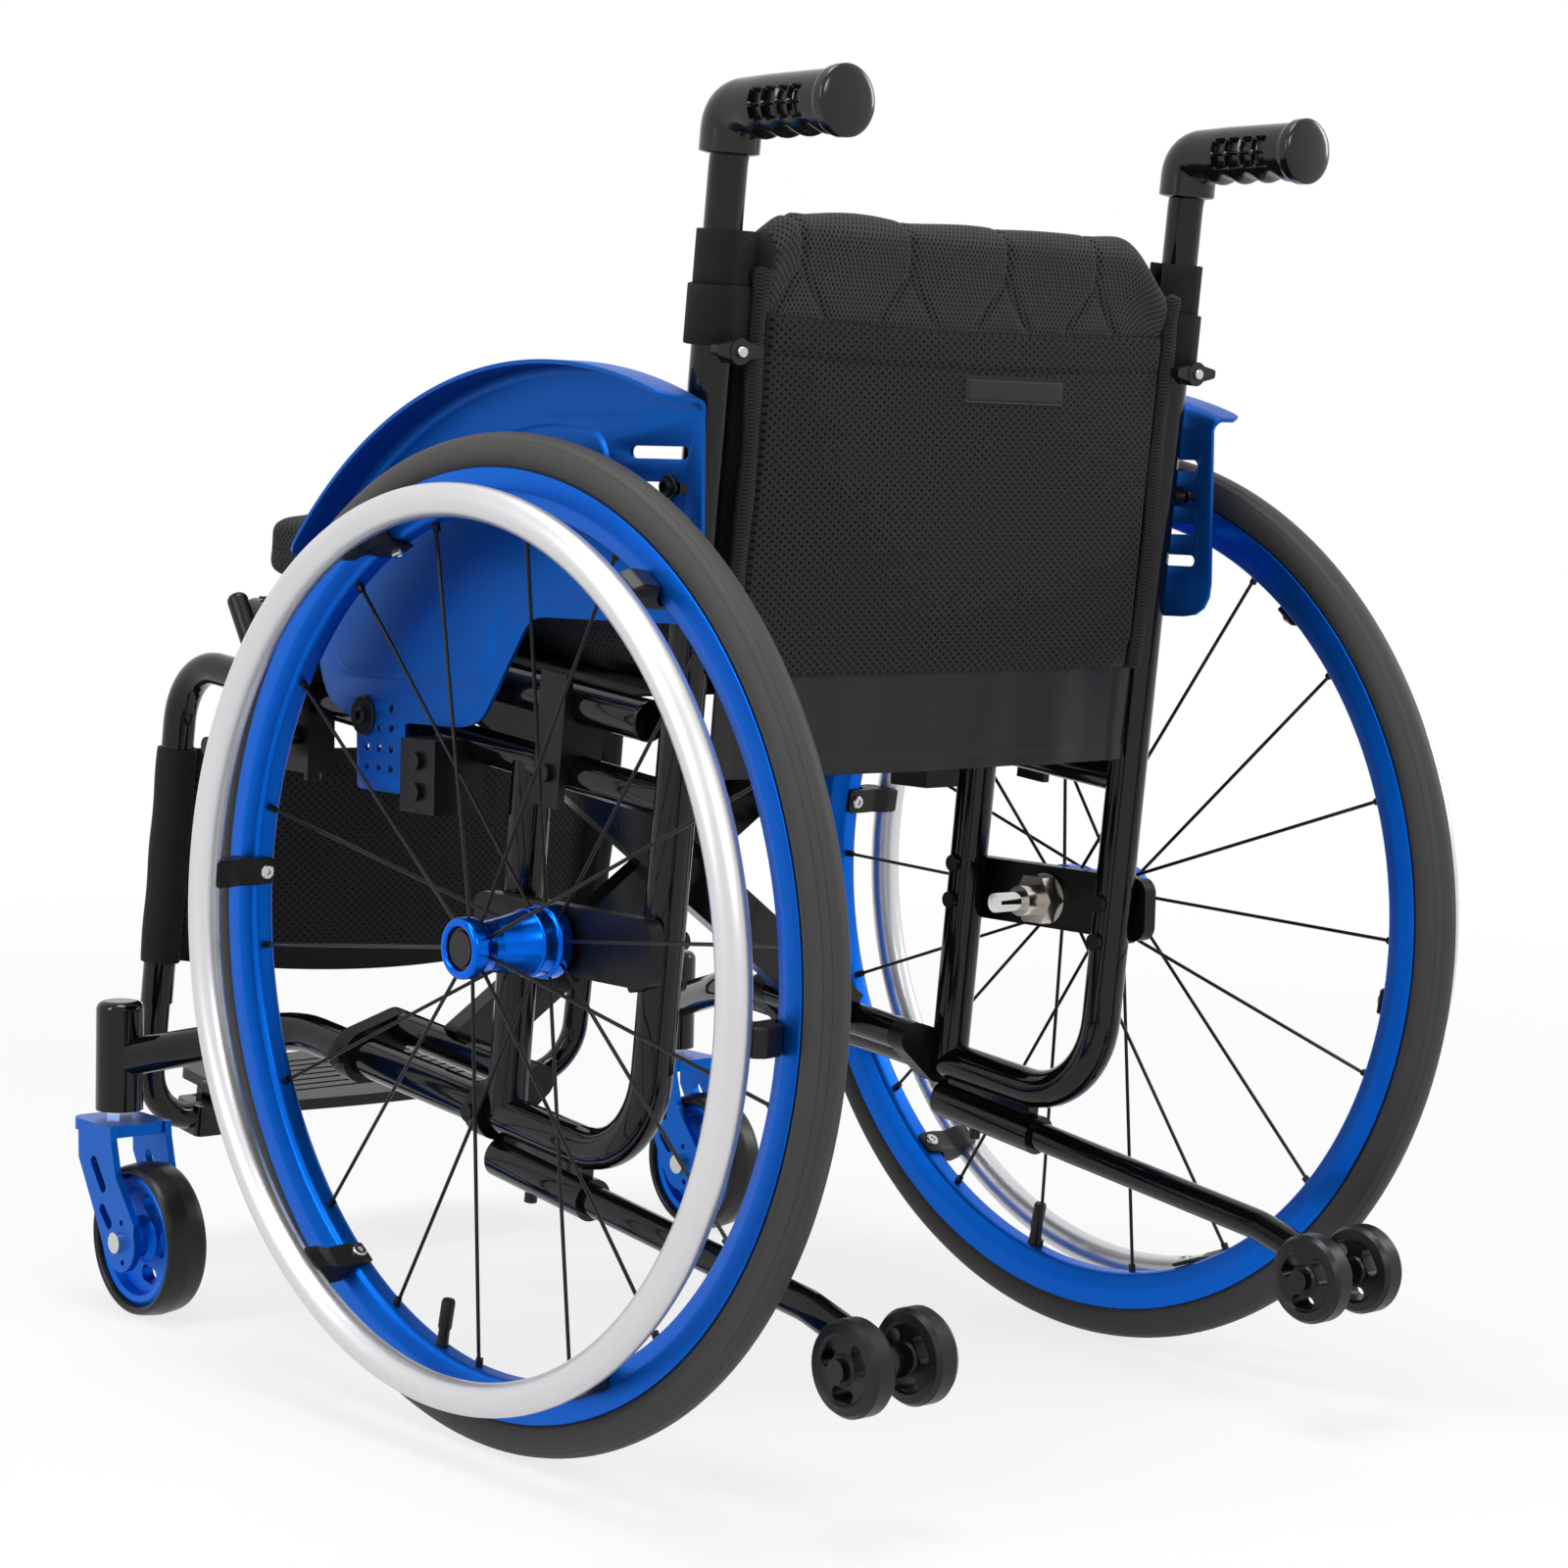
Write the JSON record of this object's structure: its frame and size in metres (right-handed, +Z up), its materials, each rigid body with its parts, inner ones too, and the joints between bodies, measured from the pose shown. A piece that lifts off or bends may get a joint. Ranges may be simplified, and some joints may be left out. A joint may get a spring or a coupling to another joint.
{
  "type": "folding wheelchair",
  "caption": "Folding active wheelchair with cross brace, spoked wheels, handrims, casters, side guards and height-adjustable push handles.",
  "frame": {"origin": "on the ground under the middle of the bounding box", "axes": "+Z up, +X to the user's left, -Y forwards"},
  "size_m": [0.5974, 0.8586, 0.7926],
  "materials": {
    "frame_black": "gloss black powder coat",
    "chrome": "bright chrome",
    "nickel": "nickel plate",
    "button_black": "gloss black",
    "guard_blue": "satin blue",
    "rim_blue": "satin anodised blue",
    "hub_blue": "bright anodised blue",
    "tyre_rubber": "fine ribbed rubber",
    "caster_rubber": "solid rubber",
    "spoke_black": "black",
    "handrim_silver": "satin anodised silver",
    "black_plastic": "moulded black",
    "grip_black": "moulded gloss black",
    "brace_black": "black",
    "mesh_fabric": "black spacer mesh",
    "sheet_fabric": "black nylon and vinyl"
  },
  "bodies": {
    "frame_left": {"side_frame_left": "frame_black", "upper_frame_left": "frame_black", "leg_tube_left": "frame_black", "frame_clamps_left": "frame_black", "axle_plate_left": "frame_black", "axle_sleeve_left": "nickel", "axle_pin_left": "chrome", "side_guard_left": "guard_blue", "back_upholstery": "mesh_fabric", "back_flap": "sheet_fabric", "calf_panel": "sheet_fabric"},
    "frame_right": {"side_frame_right": "frame_black", "upper_frame_right": "frame_black", "leg_tube_right": "frame_black", "frame_clamps_right": "frame_black", "axle_plate_right": "frame_black", "axle_sleeve_right": "nickel", "axle_pin_right": "chrome", "side_guard_right": "guard_blue"},
    "brace_a": {"brace_arm_a": "brace_black", "seat_rail_right": "frame_black"},
    "brace_b": {"brace_arm_b": "brace_black", "seat_rail_left": "frame_black"},
    "seat": {"seat_cushion": "mesh_fabric", "seat_sling": "sheet_fabric"},
    "footrest": {"footplate": "black_plastic"},
    "wheel_left": {"tyre_left": "tyre_rubber", "rim_left": "rim_blue", "spokes_left": "spoke_black", "hub_left": "hub_blue", "handrim_left": "handrim_silver", "handrim_clips_left": "black_plastic"},
    "axle_button_left": {"hub_button_left": "button_black"},
    "caster_left": {"caster_fork_left": "guard_blue"},
    "caster_wheel_left": {"caster_tyre_left": "caster_rubber", "caster_hub_left": "hub_blue"},
    "handle_left": {"push_handle_left": "frame_black", "grip_left": "grip_black"},
    "knob_left": {"handle_knob_left": "black_plastic"},
    "lock_left": {"brake_lever_left": "frame_black"},
    "anti_tip_left": {"anti_tip_arm_left": "frame_black"},
    "rollers_left": {"anti_tip_wheels_left": "black_plastic"},
    "snap_left": {"anti_tip_button_left": "button_black"},
    "wheel_right": {"tyre_right": "tyre_rubber", "rim_right": "rim_blue", "spokes_right": "spoke_black", "hub_right": "hub_blue", "handrim_right": "handrim_silver", "handrim_clips_right": "black_plastic"},
    "axle_button_right": {"hub_button_right": "button_black"},
    "caster_right": {"caster_fork_right": "guard_blue"},
    "caster_wheel_right": {"caster_tyre_right": "caster_rubber", "caster_hub_right": "hub_blue"},
    "handle_right": {"push_handle_right": "frame_black", "grip_right": "grip_black"},
    "knob_right": {"handle_knob_right": "black_plastic"},
    "lock_right": {"brake_lever_right": "frame_black"},
    "anti_tip_right": {"anti_tip_arm_right": "frame_black"},
    "rollers_right": {"anti_tip_wheels_right": "black_plastic"},
    "snap_right": {"anti_tip_button_right": "button_black"}
  },
  "joints": [
    {"name": "fold", "type": "hinge", "parent": "frame_left", "child": "brace_a", "pos_m": [0.157, -0.02491, 0.20318], "axis": [0, 0.9954, -0.0958], "range_deg": [0, 30], "deforming": ["seat_cushion", "seat_sling", "back_upholstery", "back_flap", "calf_panel"]},
    {"name": "brace_centre", "type": "hinge", "parent": "brace_a", "child": "brace_b", "pos_m": [0, -0.01416, 0.31481], "axis": [0, 0.9954, -0.0958], "range_deg": [-60, 0]},
    {"name": "right_pivot", "type": "hinge", "parent": "brace_b", "child": "frame_right", "pos_m": [-0.157, -0.02491, 0.20318], "axis": [0, 0.9954, -0.0958], "range_deg": [0, 30]},
    {"name": "seat_level", "type": "hinge", "parent": "brace_b", "child": "seat", "pos_m": [0.186, -0.00143, 0.44705], "axis": [0, 0.9954, -0.0958], "range_deg": [0, 30]},
    {"name": "footplate_flip", "type": "hinge", "parent": "frame_left", "child": "footrest", "pos_m": [0.127, -0.36724, 0.1236], "axis": [0, 0.9925, -0.1219], "range_deg": [0, 90]},
    {"name": "wheel_turn_left", "type": "hinge", "parent": "frame_left", "child": "wheel_left", "pos_m": [0.248, 0.13276, 0.2965], "axis": [1, 0, 0], "continuous": true},
    {"name": "axle_release_left", "type": "slide", "parent": "frame_left", "child": "axle_button_left", "axis": [-1, 0, 0], "range_m": [0, 0.0035], "stiffness_N_per_m": 400},
    {"name": "caster_swivel_left", "type": "hinge", "parent": "frame_left", "child": "caster_left", "pos_m": [0.241, -0.30524, 0.133], "axis": [0, 0, 1], "continuous": true},
    {"name": "caster_roll_left", "type": "hinge", "parent": "caster_left", "child": "caster_wheel_left", "pos_m": [0.241, -0.26524, 0.0515], "axis": [1, 0, 0], "continuous": true},
    {"name": "handle_height_left", "type": "slide", "parent": "frame_left", "child": "handle_left", "axis": [0, 0.0958, 0.9954], "range_m": [-0.03, 0.03]},
    {"name": "knob_turn_left", "type": "hinge", "parent": "frame_left", "child": "knob_left", "pos_m": [0.186, 0.2523, 0.64063], "axis": [0, 0.9954, -0.0958], "range_deg": [-180, 180]},
    {"name": "wheel_lock_left", "type": "hinge", "parent": "frame_left", "child": "lock_left", "pos_m": [0.2078, -0.15924, 0.396], "axis": [1, 0, 0], "range_deg": [0, 66.4]},
    {"name": "anti_tip_turn_left", "type": "hinge", "parent": "frame_left", "child": "anti_tip_left", "pos_m": [0.186, 0.05264, 0.15302], "axis": [0, 0.9914, -0.1305], "range_deg": [0, 180]},
    {"name": "roller_turn_left", "type": "hinge", "parent": "anti_tip_left", "child": "rollers_left", "pos_m": [0.186, 0.40176, 0.097], "axis": [1, 0, 0], "continuous": true},
    {"name": "anti_tip_release_left", "type": "slide", "parent": "frame_left", "child": "snap_left", "axis": [0, 0.1305, 0.9914], "range_m": [0, 0.0025], "stiffness_N_per_m": 400},
    {"name": "wheel_turn_right", "type": "hinge", "parent": "frame_right", "child": "wheel_right", "pos_m": [-0.248, 0.13276, 0.2965], "axis": [1, 0, 0], "continuous": true},
    {"name": "axle_release_right", "type": "slide", "parent": "frame_right", "child": "axle_button_right", "axis": [1, 0, 0], "range_m": [0, 0.0035], "stiffness_N_per_m": 400},
    {"name": "caster_swivel_right", "type": "hinge", "parent": "frame_right", "child": "caster_right", "pos_m": [-0.241, -0.30524, 0.133], "axis": [0, 0, 1], "continuous": true},
    {"name": "caster_roll_right", "type": "hinge", "parent": "caster_right", "child": "caster_wheel_right", "pos_m": [-0.241, -0.26524, 0.0515], "axis": [1, 0, 0], "continuous": true},
    {"name": "handle_height_right", "type": "slide", "parent": "frame_right", "child": "handle_right", "axis": [0, 0.0958, 0.9954], "range_m": [-0.03, 0.03]},
    {"name": "knob_turn_right", "type": "hinge", "parent": "frame_right", "child": "knob_right", "pos_m": [-0.186, 0.2523, 0.64063], "axis": [0, 0.9954, -0.0958], "range_deg": [-180, 180]},
    {"name": "wheel_lock_right", "type": "hinge", "parent": "frame_right", "child": "lock_right", "pos_m": [-0.2078, -0.15924, 0.396], "axis": [1, 0, 0], "range_deg": [0, 66.4]},
    {"name": "anti_tip_turn_right", "type": "hinge", "parent": "frame_right", "child": "anti_tip_right", "pos_m": [-0.186, 0.05264, 0.15302], "axis": [0, -0.9914, 0.1305], "range_deg": [0, 180]},
    {"name": "roller_turn_right", "type": "hinge", "parent": "anti_tip_right", "child": "rollers_right", "pos_m": [-0.186, 0.40176, 0.097], "axis": [1, 0, 0], "continuous": true},
    {"name": "anti_tip_release_right", "type": "slide", "parent": "frame_right", "child": "snap_right", "axis": [0, 0.1305, 0.9914], "range_m": [0, 0.0025], "stiffness_N_per_m": 400}
  ],
  "couplings": [
    {"joint": "brace_centre", "follows": "fold", "ratio": -2},
    {"joint": "right_pivot", "follows": "fold", "ratio": 1},
    {"joint": "seat_level", "follows": "fold", "ratio": 1},
    {"joint": "footplate_flip", "follows": "fold", "ratio": 3}
  ]
}
